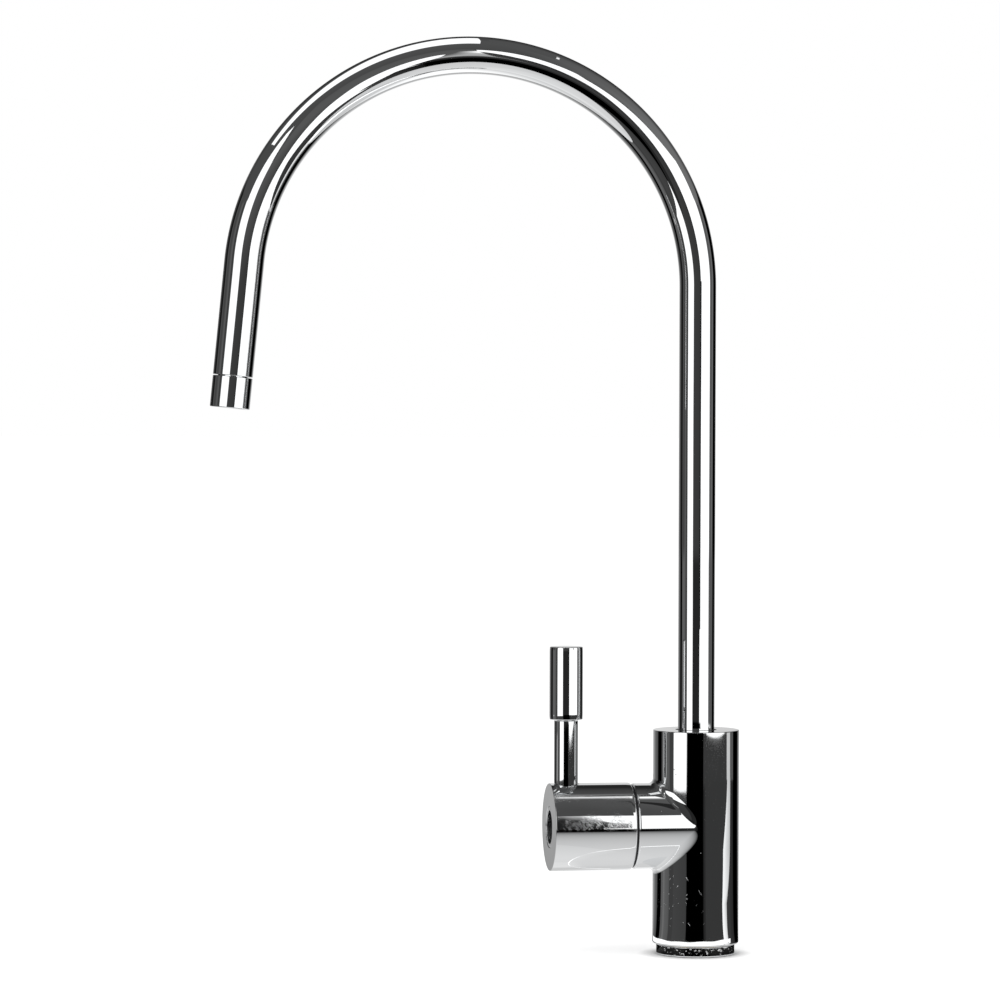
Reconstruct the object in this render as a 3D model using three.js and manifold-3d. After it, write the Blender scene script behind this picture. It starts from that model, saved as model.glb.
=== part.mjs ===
// Three way filtered water tap: a deck-mounted swan-neck tap with one side lever.
// Two filtered supplies come up through the shank; the lever on the barrel picks one,
// the other or neither, and the water leaves through the swivelling spout.
//
// Millimetres, +Z up. The origin is on the body's axis at the worktop's upper face.
// The barrel, its lever and the spout point along -X; the grub screw is on the +Y side.
// Inside the valve, u is the distance from the body's axis towards the barrel's end.

import * as THREE from "three";
import { mergeVertices } from "three/addons/utils/BufferGeometryUtils.js";
import Module from "manifold-3d";

const wasm = await Module();
wasm.setup();

// ---------------------------------------------------------------- driving dimensions

const gap = 0.3; // left between two solids that touch on the real tap
const slip = 0.15; // radial clearance of one round piece in another
const relief = 0.2; // room at the bottom or side of a recess
const overlap = 0.2; // how far two joined shapes run into each other
const past = 1; // how far a cut runs past the face that it opens

const body = { radius: 14.1, bottom: 3.6, top: 73.5, bottomChamfer: 0.4, topChamfer: 0.3 };
const boss = { radius: 14, end: 21.4, edge: 0.3, axisHeight: 42 };

const spout = {
  radius: 6,
  bore: 5,
  foot: 66.3,
  riserTop: 218.3,
  archRadius: 74.5,
  lean: THREE.MathUtils.degToRad(5.6), // how far the outlet leans away from vertical
  straight: 37.1, // from the end of the arch to the nozzle's groove
  outletRadius: 6.44, // the tube widens along the arch, and the nozzle is as wide
  widensFrom: THREE.MathUtils.degToRad(80), // turn of the arch where that begins
};
const nozzle = { length: 10.1, neck: 6.2, neckBore: 3.6, chamberBore: 5.1, chamberDepth: 7.6, edge: 0.3 };
const straightener = { hole: 0.75, circle: 2.9, count: 8, length: 5.4, washer: 1 };

const socket = { radius: 6.45, floor: 53.5 }; // the spout's socket in the body's top
const dustSeal = { inner: 6.12, outer: 6.6, bottom: 72.1, top: 73.55 };
const spigot = { radius: 6.2, bottom: 53.9, shoulder: 66, top: 74, neck: 4.8, bore: 2.8 };
const spigotRing = { centre: 5.45, thickness: 0.8, grooveFloor: 4.5, grooveHeight: 2 };
const spigotRingHeights = { lower: 55.9, upper: 59.3 };
const grub = { radius: 1.95, tip: 1.4, height: 63.8, tipEnd: 5.4, shoulder: 6.6, outerEnd: 13.2 };
const grubGroove = { floor: 5.1, height: 3.4 };
const grubKey = { acrossFlats: 2, depth: 2 };

const baseRing = { outer: 12.8, inner: 9.5, bottom: 0.15, top: 3.3, edge: 0.15 };
const gasket = { inner: 10.4, outer: 11.8, top: 1.7 };
const shank = { radius: 9, bore: 7.5, bottom: -55, top: 10.8, socketFloor: 11 };
const rubberWasher = { outer: 15, bottom: -32, top: -30 };
const steelWasher = { outer: 15.5, thickness: 1.5 };
const lockNut = { acrossFlats: 24, height: 6 };

const inletOffset = 4.3; // each inlet lies this far from the body's axis along Y
const passage = 1.8; // radius of every drilled water way in the body
const inletSocket = { radius: 3.05, top: 21 };

const seat = 7; // u of the floor that the cartridge is pressed against
const seal = { radius: 8.8, start: 7.1, end: 8.55, hole: 1.9 };
const fixedDisc = { radius: 7.7, start: 8.75, end: 11.25, port: 1.7 };
const movingDisc = { radius: 7.4, start: 11.35, end: 13.85, recess: 1.35, reach: 6.2, width: 3.4 };
const discKey = { inner: 7.1, width: 2.6 };
const driveLug = { inner: 4.8, outer: 6.4, width: 2.4, depth: 1.6 };
const flange = { radius: 6.6, start: 14, end: 16 };
const stopTab = { outer: 7.5, halfAngle: THREE.MathUtils.degToRad(27) };
const stopLug = { inner: 6.8, halfAngle: THREE.MathUtils.degToRad(61) };
const frictionWasher = { inner: 3.35, outer: 6.3, start: 16.15, end: 16.75 };
const stem = { radius: 3, end: 40, splineStart: 31, splineTip: 2.95, splineRoot: 2.55, teeth: 12 };
const tooth = { rootShare: 0.3, tipShare: 0.17 }; // half widths, in shares of the pitch
const screwHole = { radius: 1.75, start: 30 };
const stemRing = { centre: 2.5, thickness: 0.5, grooveFloor: 1.95, grooveWidth: 1.4 };
const stemRingPlaces = { inner: 19.7, outer: 22.7 };
const circlip = {
  inner: 2.6,
  outer: 4.4,
  start: 27.15,
  end: 27.75,
  grooveFloor: 2.45,
  halfOpening: THREE.MathUtils.degToRad(40),
};
const housing = {
  radius: 9.35,
  bore: 7.95,
  stemBore: 3.2,
  start: 8.9,
  floor: 16.9,
  shoulder: 17.6,
  neck: 6,
  end: 27,
};
const cartridgeBore = { radius: 9.6, end: 17.7, threadRadius: 10.6 };
const cartridgeNut = { radius: 10.35, bore: 6.25, start: 17.9, hexStart: 21.6, end: 26, acrossFlats: 19.4 };
const glideRing = { inner: 11.45, sleeve: 12.2, outer: 13.6, start: 21.5, face: 21.8, end: 25.5 };

const barrel = { radius: 14.3, start: 21.95, end: 48.7, edge: 0.4, skirtBore: 12.4, skirtEnd: 33 };
const recess = { radius: 5.6, floor: 41, seatRadius: 6.85, seatFloor: 46.4 };
const endRing = { outer: 6.7, inner: 5.5, start: 46.6, end: 48.6, edge: 0.4 };
const handleScrew = { shank: 1.6, tip: 31.5, head: 3.4, headStart: 42, headEnd: 45.6 };
const handleKey = { acrossFlats: 3, depth: 2.2 };
const handleWasher = { inner: 2.2, outer: 4.6, start: 41.1, end: 41.9 };

const lever = {
  place: 43.2, // u of the lever's own axis
  radius: 3.9,
  foot: 3,
  footBottom: 7.8, // heights here are above the barrel's axis
  seat: 12.35,
  gripBottom: 35.1,
  gripTop: 58.9,
  gripRadius: 5.45,
  gripEdge: 0.35,
  tenonTop: 50,
};

// ---------------------------------------------------------------- finishes

function finish(color, roughness, metalness) {
  return () => new THREE.MeshStandardMaterial({ color, roughness, metalness });
}
const chrome = finish(0xdfe3e6, 0.06, 1);
const brass = finish(0xc9a35a, 0.35, 1);
const steel = finish(0xb4b7ba, 0.3, 1);
const ceramic = finish(0xf1ede4, 0.25, 0);
const rubber = finish(0x17181a, 0.8, 0);
const acetal = finish(0x25272a, 0.5, 0);
const whitePlastic = finish(0xe8e8e4, 0.45, 0);

// ---------------------------------------------------------------- shape helpers

const fine = 36; // segments round a large piece
const medium = 24;
const coarse = 16; // segments round a small piece
const tiny = 8; // segments round a fine hole
const arcSegments = 10; // steps along each arc of an extruded outline
const oRingSides = 6;
const oRingSegments = 20;
const weldDistance = 1e-4;

// A profile of [radius, height] corners turned about +Z. Open profiles start and end on the axis.
function turned(corners, segments, closed = true) {
  const outline = corners.map(([r, z]) => new THREE.Vector2(r, z));
  if (closed) outline.push(outline[0].clone());
  return new THREE.LatheGeometry(outline, segments).rotateX(Math.PI / 2);
}

function ring(inner, outer, low, high, segments = medium) {
  return turned([[inner, low], [outer, low], [outer, high], [inner, high]], segments);
}

function rod(radius, low, high, segments = coarse) {
  return turned([[0, low], [radius, low], [radius, high], [0, high]], segments, false);
}

// A rod along Y or X instead of Z, by turning the finished rod.
function rodAlongY(radius, from, to, segments = coarse) {
  return rod(radius, from, to, segments).rotateX(-Math.PI / 2);
}
function rodAlongX(radius, from, to, segments = coarse) {
  return rod(radius, from, to, segments).rotateY(Math.PI / 2);
}

function hexagon(acrossFlats, low, high) {
  return rod(acrossFlats / Math.sqrt(3), low, high, 6);
}

function block(x, y, z) {
  const geometry = new THREE.BoxGeometry(x[1] - x[0], y[1] - y[0], z[1] - z[0]);
  return geometry.translate((x[0] + x[1]) / 2, (y[0] + y[1]) / 2, (z[0] + z[1]) / 2);
}

// Part of a ring, centred on the angle `middle` and reaching `half` to each side of it.
function sector(inner, outer, middle, half, low, high) {
  const shape = new THREE.Shape();
  shape.absarc(0, 0, outer, middle - half, middle + half, false);
  shape.absarc(0, 0, inner, middle + half, middle - half, true);
  const options = { depth: high - low, bevelEnabled: false, curveSegments: arcSegments };
  return new THREE.ExtrudeGeometry(shape, options).translate(0, 0, low);
}

// A toothed bar: `teeth` flat-topped teeth between the two radii.
function splined(root, tip, teeth, low, high) {
  const corners = [];
  for (let i = 0; i < teeth; i++) {
    const { rootShare, tipShare } = tooth;
    const flanks = [[root, -rootShare], [tip, -tipShare], [tip, tipShare], [root, rootShare]];
    flanks.forEach(([radius, share]) => {
      const angle = ((i + share) / teeth) * 2 * Math.PI;
      corners.push(new THREE.Vector2(radius * Math.cos(angle), radius * Math.sin(angle)));
    });
  }
  const options = { depth: high - low, bevelEnabled: false };
  return new THREE.ExtrudeGeometry(new THREE.Shape(corners), options).translate(0, 0, low);
}

function oRing(centre, thickness, height) {
  return new THREE.TorusGeometry(centre, thickness, oRingSides, oRingSegments).translate(0, 0, height);
}

function solid(geometry) {
  const bare = geometry.clone();
  bare.deleteAttribute("normal");
  bare.deleteAttribute("uv");
  const merged = mergeVertices(bare, weldDistance);
  return new wasm.Manifold(
    new wasm.Mesh({
      numProp: 3,
      vertProperties: merged.attributes.position.array,
      triVerts: new Uint32Array(merged.index.array),
    }),
  );
}

// The pieces joined together, less everything in `cuts`.
function carved(pieces, cuts = []) {
  const joined = pieces.map(solid).reduce((a, b) => a.add(b));
  const mesh = cuts.reduce((rest, cut) => rest.subtract(solid(cut)), joined).getMesh();
  const geometry = new THREE.BufferGeometry();
  geometry.setAttribute("position", new THREE.BufferAttribute(mesh.vertProperties, 3));
  geometry.setIndex(new THREE.BufferAttribute(mesh.triVerts, 1));
  geometry.computeVertexNormals();
  return geometry;
}

function place(group, name, geometry, material) {
  const mesh = new THREE.Mesh(geometry, material());
  mesh.name = name;
  group.add(mesh);
}

// ---------------------------------------------------------------- the groups

const tap = new THREE.Group();

// Local +Z runs from the body's axis out along the barrel, and local +X is up.
const valveAxis = new THREE.Group();
valveAxis.position.z = boss.axisHeight;
valveAxis.rotation.y = -Math.PI / 2;

// Local +Z is the lever's own axis, measured from the barrel's axis.
const leverAxis = new THREE.Group();
leverAxis.position.set(-lever.place, 0, boss.axisHeight);

// Local +Z is the way the water leaves, measured from the end of the arch.
const outletAxis = new THREE.Group();
outletAxis.position.set(
  -spout.archRadius * (1 + Math.cos(spout.lean)),
  0,
  spout.riserTop + spout.archRadius * Math.sin(spout.lean),
);
outletAxis.rotation.y = Math.PI + spout.lean;
tap.add(valveAxis, leverAxis, outletAxis);

// ---------------------------------------------------------------- body and its base

function bodyGeometry() {
  const column = turned(
    [
      [0, body.bottom],
      [body.radius - body.bottomChamfer, body.bottom],
      [body.radius, body.bottom + body.bottomChamfer],
      [body.radius, body.top - body.topChamfer],
      [body.radius - body.topChamfer, body.top],
      [0, body.top],
    ],
    fine,
    false,
  );
  const sideBoss = turned(
    [
      [0, 0],
      [boss.radius, 0],
      [boss.radius, boss.end - boss.edge],
      [boss.radius - boss.edge, boss.end],
      [0, boss.end],
    ],
    fine,
    false,
  )
    .rotateY(-Math.PI / 2)
    .translate(0, 0, boss.axisHeight);
  const alongValve = (radius, from, to, segments = coarse, y = 0) =>
    rodAlongX(radius, -to, -from, segments).translate(0, y, boss.axisHeight);
  const cuts = [
    rod(shank.radius + slip, body.bottom - past, shank.socketFloor, fine),
    rod(passage, boss.axisHeight, socket.floor + past),
    rod(socket.radius, socket.floor, body.top + past, fine),
    rod(dustSeal.outer + slip, dustSeal.bottom - relief, body.top + past, fine),
    rodAlongY(grub.radius + slip, 0, body.radius + past).translate(0, 0, grub.height),
    alongValve(cartridgeBore.radius, seat, cartridgeBore.end + past, fine),
    alongValve(cartridgeBore.threadRadius, cartridgeBore.end, boss.end + past, fine),
    alongValve(passage, 0, seat + past),
  ];
  for (const side of [-1, 1]) {
    const y = side * inletOffset;
    const drillTop = boss.axisHeight + passage;
    cuts.push(rod(inletSocket.radius, shank.socketFloor - past, inletSocket.top).translate(0, y, 0));
    cuts.push(rod(passage, inletSocket.top - past, drillTop).translate(0, y, 0));
    cuts.push(alongValve(passage, 0, seat + past, coarse, y));
  }
  return carved([column, sideBoss], cuts);
}

function baseRingGeometry() {
  const grooveTop = gasket.top + gap;
  return turned(
    [
      [baseRing.inner, baseRing.bottom],
      [gasket.inner - slip, baseRing.bottom],
      [gasket.inner - slip, grooveTop],
      [gasket.outer + slip, grooveTop],
      [gasket.outer + slip, baseRing.bottom],
      [baseRing.outer - baseRing.edge, baseRing.bottom],
      [baseRing.outer, baseRing.bottom + baseRing.edge],
      [baseRing.outer, baseRing.top],
      [baseRing.inner, baseRing.top],
    ],
    fine,
  );
}

place(tap, "body", bodyGeometry(), chrome);
place(tap, "base_ring", baseRingGeometry(), chrome);
place(tap, "base_gasket", ring(gasket.inner, gasket.outer, 0, gasket.top, fine), rubber);

// ---------------------------------------------------------------- fixing below the worktop

const shankHole = shank.radius + gap;
const steelTop = rubberWasher.bottom - gap;
const nutTop = steelTop - steelWasher.thickness - gap;
const nutGeometry = carved(
  [hexagon(lockNut.acrossFlats, nutTop - lockNut.height, nutTop)],
  [rod(shankHole, nutTop - lockNut.height - past, nutTop + past, fine)],
);
place(tap, "threaded_shank", ring(shank.bore, shank.radius, shank.bottom, shank.top, fine), brass);
place(
  tap,
  "deck_rubber_washer",
  ring(shankHole, rubberWasher.outer, rubberWasher.bottom, rubberWasher.top),
  rubber,
);
place(
  tap,
  "deck_clamp_washer",
  ring(shankHole, steelWasher.outer, steelTop - steelWasher.thickness, steelTop),
  steel,
);
place(tap, "lock_nut", nutGeometry, brass);

// ---------------------------------------------------------------- spout

// Straight riser, arch, straight outlet. A step of t is one stretch of the tube: the two
// straights take one step each and the arch the rest, so points aren't spaced by length.
class SpoutLine extends THREE.Curve {
  static archSteps = 30;
  static steps = SpoutLine.archSteps + 2;

  getPoint(t, target = new THREE.Vector3()) {
    const step = t * SpoutLine.steps;
    const onArch = THREE.MathUtils.clamp((step - 1) / SpoutLine.archSteps, 0, 1);
    const turn = onArch * (Math.PI - spout.lean);
    target.set(
      -spout.archRadius * (1 - Math.cos(turn)),
      0,
      spout.riserTop + spout.archRadius * Math.sin(turn),
    );
    if (step < 1) target.z -= (1 - step) * (spout.riserTop - spout.foot);
    const beyond = (step - 1 - SpoutLine.archSteps) * spout.straight;
    if (beyond > 0) target.add(new THREE.Vector3(0, 0, beyond).applyEuler(outletAxis.rotation));
    return target;
  }
  getPointAt(t, target) {
    return this.getPoint(t, target);
  }
  getTangentAt(t, target = new THREE.Vector3()) {
    const step = t * SpoutLine.steps;
    const onArch = THREE.MathUtils.clamp((step - 1) / SpoutLine.archSteps, 0, 1);
    const turn = onArch * (Math.PI - spout.lean);
    return target.set(-Math.sin(turn), 0, Math.cos(turn));
  }
}

const archEnd = Math.PI - spout.lean; // how far the arch turns in all
const archCentre = new THREE.Vector3(-spout.archRadius, 0, spout.riserTop);

// Moves a point of the plain tube away from the middle of its section, so that the tube
// widens from the riser's size to the outlet's along the arch.
function widened(point) {
  const fromCentre = point.clone().sub(archCentre);
  let turn = Math.atan2(fromCentre.z, fromCentre.x);
  if (turn < -Math.PI / 2) turn += 2 * Math.PI; // beyond the arch, on the outlet's side
  const share = (turn - spout.widensFrom) / (archEnd - spout.widensFrom);
  const widening = 1 + (spout.outletRadius / spout.radius - 1) * THREE.MathUtils.clamp(share, 0, 1);
  const middle = new THREE.Vector3(Math.cos(turn), 0, Math.sin(turn));
  middle.multiplyScalar(spout.archRadius).add(archCentre);
  if (turn < 0) middle.set(0, 0, point.z);
  if (turn > archEnd) {
    const way = new THREE.Vector3(0, 0, 1).applyEuler(outletAxis.rotation);
    const along = point.clone().sub(outletAxis.position).dot(way);
    middle.copy(outletAxis.position).addScaledVector(way, along);
  }
  return point.sub(middle).multiplyScalar(widening).add(middle);
}

function spoutTubeGeometry() {
  const section = new THREE.Shape().absarc(0, 0, spout.radius, 0, 2 * Math.PI, false);
  section.holes.push(new THREE.Path().absarc(0, 0, spout.bore, 0, 2 * Math.PI, true));
  const tube = new THREE.ExtrudeGeometry(section, {
    steps: SpoutLine.steps,
    extrudePath: new SpoutLine(),
    curveSegments: arcSegments,
    bevelEnabled: false,
  });
  const { position } = tube.attributes;
  const point = new THREE.Vector3();
  for (let i = 0; i < position.count; i++) {
    widened(point.fromBufferAttribute(position, i));
    position.setXYZ(i, point.x, point.y, point.z);
  }
  return tube;
}

// The brass end of the tube, which turns in the body's socket. Grooves hold its two
// sealing rings, and the grub screw's tip in the top groove keeps the spout from lifting.
function spigotGeometry() {
  const corners = [
    [spigot.bore, spigot.bottom],
    [spigot.radius, spigot.bottom],
  ];
  const groove = (floor, middle, height) => {
    corners.push([spigot.radius, middle - height / 2], [floor, middle - height / 2]);
    corners.push([floor, middle + height / 2], [spigot.radius, middle + height / 2]);
  };
  groove(spigotRing.grooveFloor, spigotRingHeights.lower, spigotRing.grooveHeight);
  groove(spigotRing.grooveFloor, spigotRingHeights.upper, spigotRing.grooveHeight);
  groove(grubGroove.floor, grub.height, grubGroove.height);
  corners.push([spigot.radius, spigot.shoulder], [spigot.neck, spigot.shoulder]);
  corners.push([spigot.neck, spigot.top], [spigot.bore, spigot.top]);
  return turned(corners, fine);
}

function grubScrewGeometry() {
  const turnedScrew = turned(
    [
      [0, grub.tipEnd],
      [grub.tip, grub.tipEnd],
      [grub.tip, grub.shoulder],
      [grub.radius, grub.shoulder],
      [grub.radius, grub.outerEnd],
      [0, grub.outerEnd],
    ],
    coarse,
    false,
  );
  const socketCut = hexagon(grubKey.acrossFlats, grub.outerEnd - grubKey.depth, grub.outerEnd + past);
  return carved([turnedScrew], [socketCut]).rotateX(-Math.PI / 2).translate(0, 0, grub.height);
}

function nozzleGeometry() {
  const start = spout.straight + gap;
  const rim = start + nozzle.length;
  return turned(
    [
      [nozzle.neckBore, start - nozzle.neck],
      [spout.bore - slip, start - nozzle.neck],
      [spout.bore - slip, start],
      [spout.outletRadius, start],
      [spout.outletRadius, rim - nozzle.edge],
      [spout.outletRadius - nozzle.edge, rim],
      [nozzle.chamberBore, rim],
      [nozzle.chamberBore, rim - nozzle.chamberDepth],
      [nozzle.neckBore, rim - nozzle.chamberDepth],
    ],
    medium,
  );
}

// A flow straightener: a disc with one hole in the middle and a ring of them round it.
function straightenerGeometry(low) {
  const { hole, circle, count, length } = straightener;
  const high = low + length;
  const cuts = [rod(hole, low - past, high + past, tiny)];
  for (let i = 0; i < count; i++) {
    const angle = (i / count) * 2 * Math.PI;
    const at = [circle * Math.cos(angle), circle * Math.sin(angle), 0];
    cuts.push(rod(hole, low - past, high + past, tiny).translate(...at));
  }
  return carved([rod(nozzle.chamberBore - slip, low, high, medium)], cuts);
}

const chamberFloor = spout.straight + gap + nozzle.length - nozzle.chamberDepth;
const washerLow = chamberFloor + slip;
const washerTop = washerLow + straightener.washer;
place(tap, "spout_tube", spoutTubeGeometry(), chrome);
place(tap, "spout_spigot", spigotGeometry(), brass);
for (const [where, height] of Object.entries(spigotRingHeights)) {
  const geometry = oRing(spigotRing.centre, spigotRing.thickness, height);
  place(tap, "spout_o_ring_" + where, geometry, rubber);
}
place(
  tap,
  "spout_dust_seal",
  ring(dustSeal.inner, dustSeal.outer, dustSeal.bottom, dustSeal.top, fine),
  acetal,
);
place(tap, "spout_grub_screw", grubScrewGeometry(), steel);
place(outletAxis, "spout_nozzle", nozzleGeometry(), chrome);
place(
  outletAxis,
  "aerator_washer",
  ring(nozzle.neckBore + slip, nozzle.chamberBore - slip, washerLow, washerTop),
  rubber,
);
place(outletAxis, "aerator_insert", straightenerGeometry(washerTop + slip), whitePlastic);

// ---------------------------------------------------------------- valve cartridge

// The middle port is the outlet; the two beside it, along Y, are the inlets.
function portCuts(radius, from, to) {
  return [-inletOffset, 0, inletOffset].map((y) => rod(radius, from, to).translate(0, y, 0));
}

function fixedDiscGeometry() {
  const notch = discKey.width / 2 + slip;
  const cuts = portCuts(fixedDisc.port, fixedDisc.start - past, fixedDisc.end + past);
  const across = [-notch, notch];
  const along = [fixedDisc.start - past, fixedDisc.end + past];
  const innermost = discKey.inner - slip;
  cuts.push(block([innermost, housing.bore], across, along));
  cuts.push(block([-housing.bore, -innermost], across, along));
  return carved([rod(fixedDisc.radius, fixedDisc.start, fixedDisc.end, fine)], cuts);
}

// A blind recess joins the middle port to whichever inlet it is turned over. It points up,
// over neither, while the lever stands upright. Two slots at the back take the drive lugs.
function movingDiscGeometry() {
  const half = movingDisc.width / 2;
  const recessFloor = movingDisc.start + movingDisc.recess;
  const slot = driveLug.width / 2 + slip;
  const slotDepth = [flange.start - driveLug.depth - slip, movingDisc.end + past];
  const slotInner = driveLug.inner - slip;
  const cuts = [
    rod(half, movingDisc.start - past, recessFloor),
    block([0, movingDisc.reach], [-half, half], [movingDisc.start - past, recessFloor]),
    block([-slot, slot], [slotInner, movingDisc.radius + past], slotDepth),
    block([-slot, slot], [-movingDisc.radius - past, -slotInner], slotDepth),
  ];
  return carved([rod(movingDisc.radius, movingDisc.start, movingDisc.end, fine)], cuts);
}

function spindleGeometry() {
  const sideGroove = (floor, middle, width) => [
    [stem.radius, middle - width / 2],
    [floor, middle - width / 2],
    [floor, middle + width / 2],
    [stem.radius, middle + width / 2],
  ];
  const clipMiddle = (circlip.start + circlip.end) / 2;
  const clipWidth = circlip.end - circlip.start + relief;
  const turnedSpindle = turned(
    [
      [0, flange.start],
      [flange.radius, flange.start],
      [flange.radius, flange.end],
      [stem.radius, flange.end],
      ...sideGroove(stemRing.grooveFloor, stemRingPlaces.inner, stemRing.grooveWidth),
      ...sideGroove(stemRing.grooveFloor, stemRingPlaces.outer, stemRing.grooveWidth),
      ...sideGroove(circlip.grooveFloor, clipMiddle, clipWidth),
      [stem.radius, stem.splineStart],
      [0, stem.splineStart],
    ],
    medium,
    false,
  );
  const lugWidth = [-driveLug.width / 2, driveLug.width / 2];
  const lugDepth = [flange.start - driveLug.depth, flange.end];
  const joins = [
    turnedSpindle,
    splined(stem.splineRoot, stem.splineTip, stem.teeth, stem.splineStart - past, stem.end),
    block(lugWidth, [driveLug.inner, driveLug.outer], lugDepth),
    block(lugWidth, [-driveLug.outer, -driveLug.inner], lugDepth),
    sector(flange.radius - past, stopTab.outer, Math.PI, stopTab.halfAngle, flange.start, flange.end),
  ];
  return carved(joins, [rod(screwHole.radius, screwHole.start, stem.end + past)]);
}

// The cup that holds the discs. Its two keys stop the fixed disc turning, and its lug
// stops the spindle's tab a quarter turn to each side.
function housingGeometry() {
  const cup = turned(
    [
      [housing.bore, housing.start],
      [housing.radius, housing.start],
      [housing.radius, housing.shoulder],
      [housing.neck, housing.shoulder],
      [housing.neck, housing.end],
      [housing.stemBore, housing.end],
      [housing.stemBore, housing.floor],
      [housing.bore, housing.floor],
    ],
    fine,
  );
  const intoWall = (housing.bore + housing.radius) / 2;
  const across = [-discKey.width / 2, discKey.width / 2];
  const along = [housing.start, fixedDisc.end];
  return carved([
    cup,
    block([discKey.inner, intoWall], across, along),
    block([-intoWall, -discKey.inner], across, along),
    sector(stopLug.inner, intoWall, 0, stopLug.halfAngle, flange.start + slip, housing.floor + overlap),
  ]);
}

function circlipGeometry() {
  const half = Math.PI - circlip.halfOpening;
  return sector(circlip.inner, circlip.outer, 0, half, circlip.start, circlip.end);
}

function cartridgeNutGeometry() {
  const thread = rod(cartridgeNut.radius, cartridgeNut.start, cartridgeNut.hexStart + overlap, fine);
  const head = hexagon(cartridgeNut.acrossFlats, cartridgeNut.hexStart, cartridgeNut.end);
  const bore = rod(cartridgeNut.bore, cartridgeNut.start - past, cartridgeNut.end + past, medium);
  return carved([thread, head], [bore]);
}

const glideRingGeometry = turned(
  [
    [glideRing.inner, glideRing.start],
    [glideRing.outer, glideRing.start],
    [glideRing.outer, glideRing.face],
    [glideRing.sleeve, glideRing.face],
    [glideRing.sleeve, glideRing.end],
    [glideRing.inner, glideRing.end],
  ],
  fine,
);
const sealGeometry = carved(
  [rod(seal.radius, seal.start, seal.end, fine)],
  portCuts(seal.hole, seal.start - past, seal.end + past),
);
const frictionWasherGeometry = ring(
  frictionWasher.inner,
  frictionWasher.outer,
  frictionWasher.start,
  frictionWasher.end,
);
place(valveAxis, "cartridge_seal", sealGeometry, rubber);
place(valveAxis, "fixed_disc", fixedDiscGeometry(), ceramic);
place(valveAxis, "moving_disc", movingDiscGeometry(), ceramic);
place(valveAxis, "valve_spindle", spindleGeometry(), brass);
place(valveAxis, "spindle_friction_washer", frictionWasherGeometry, whitePlastic);
for (const [where, middle] of Object.entries(stemRingPlaces)) {
  const geometry = oRing(stemRing.centre, stemRing.thickness, middle);
  place(valveAxis, "spindle_o_ring_" + where, geometry, rubber);
}
place(valveAxis, "spindle_circlip", circlipGeometry(), steel);
place(valveAxis, "cartridge_housing", housingGeometry(), brass);
place(valveAxis, "cartridge_nut", cartridgeNutGeometry(), brass);
place(valveAxis, "barrel_glide_ring", glideRingGeometry, acetal);

// ---------------------------------------------------------------- barrel and lever

function barrelGeometry() {
  const shell = turned(
    [
      [recess.radius, recess.floor],
      [0, recess.floor],
      [0, barrel.skirtEnd],
      [barrel.skirtBore, barrel.skirtEnd],
      [barrel.skirtBore, barrel.start],
      [barrel.radius, barrel.start],
      [barrel.radius, barrel.end - barrel.edge],
      [barrel.radius - barrel.edge, barrel.end],
      [recess.seatRadius, barrel.end],
      [recess.seatRadius, recess.seatFloor],
      [recess.radius, recess.seatFloor],
      [recess.radius, recess.floor],
    ],
    fine,
    false,
  );
  const footHole = rodAlongX(lever.foot + slip, lever.footBottom - relief, barrel.radius + past);
  const spotFace = rodAlongX(lever.radius + slip, lever.seat - slip, barrel.radius + past, medium);
  const hub = splined(
    stem.splineRoot + slip,
    stem.splineTip + slip,
    stem.teeth,
    barrel.skirtEnd - past,
    recess.floor + past,
  );
  const cuts = [hub, footHole.translate(0, 0, lever.place), spotFace.translate(0, 0, lever.place)];
  return carved([shell], cuts);
}

function handleScrewGeometry() {
  const turnedScrew = turned(
    [
      [0, handleScrew.tip],
      [handleScrew.shank, handleScrew.tip],
      [handleScrew.shank, handleScrew.headStart],
      [handleScrew.head, handleScrew.headStart],
      [handleScrew.head, handleScrew.headEnd],
      [0, handleScrew.headEnd],
    ],
    coarse,
    false,
  );
  return carved(
    [turnedScrew],
    [hexagon(handleKey.acrossFlats, handleScrew.headEnd - handleKey.depth, handleScrew.headEnd + past)],
  );
}

const endRingGeometry = turned(
  [
    [endRing.inner, endRing.start],
    [endRing.outer, endRing.start],
    [endRing.outer, endRing.end],
    [endRing.inner + endRing.edge, endRing.end],
    [endRing.inner, endRing.end - endRing.edge],
  ],
  medium,
);
const leverStemGeometry = turned(
  [
    [0, lever.footBottom],
    [lever.foot, lever.footBottom],
    [lever.foot, lever.seat],
    [lever.radius, lever.seat],
    [lever.radius, lever.gripBottom - gap],
    [lever.foot, lever.gripBottom - gap],
    [lever.foot, lever.tenonTop],
    [0, lever.tenonTop],
  ],
  medium,
  false,
);
const gripGeometry = turned(
  [
    [lever.foot + slip, lever.gripBottom],
    [lever.gripRadius - lever.gripEdge, lever.gripBottom],
    [lever.gripRadius, lever.gripBottom + lever.gripEdge],
    [lever.gripRadius, lever.gripTop - lever.gripEdge],
    [lever.gripRadius - lever.gripEdge, lever.gripTop],
    [0, lever.gripTop],
    [0, lever.tenonTop + gap],
    [lever.foot + slip, lever.tenonTop + gap],
    [lever.foot + slip, lever.gripBottom],
  ],
  medium,
  false,
);
const handleWasherGeometry = ring(
  handleWasher.inner,
  handleWasher.outer,
  handleWasher.start,
  handleWasher.end,
  coarse,
);
place(valveAxis, "handle_barrel", barrelGeometry(), chrome);
place(valveAxis, "handle_end_ring", endRingGeometry, chrome);
place(valveAxis, "handle_washer", handleWasherGeometry, steel);
place(valveAxis, "handle_screw", handleScrewGeometry(), steel);
place(leverAxis, "lever_stem", leverStemGeometry, chrome);
place(leverAxis, "lever_grip", gripGeometry, chrome);

export default tap;
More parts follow.
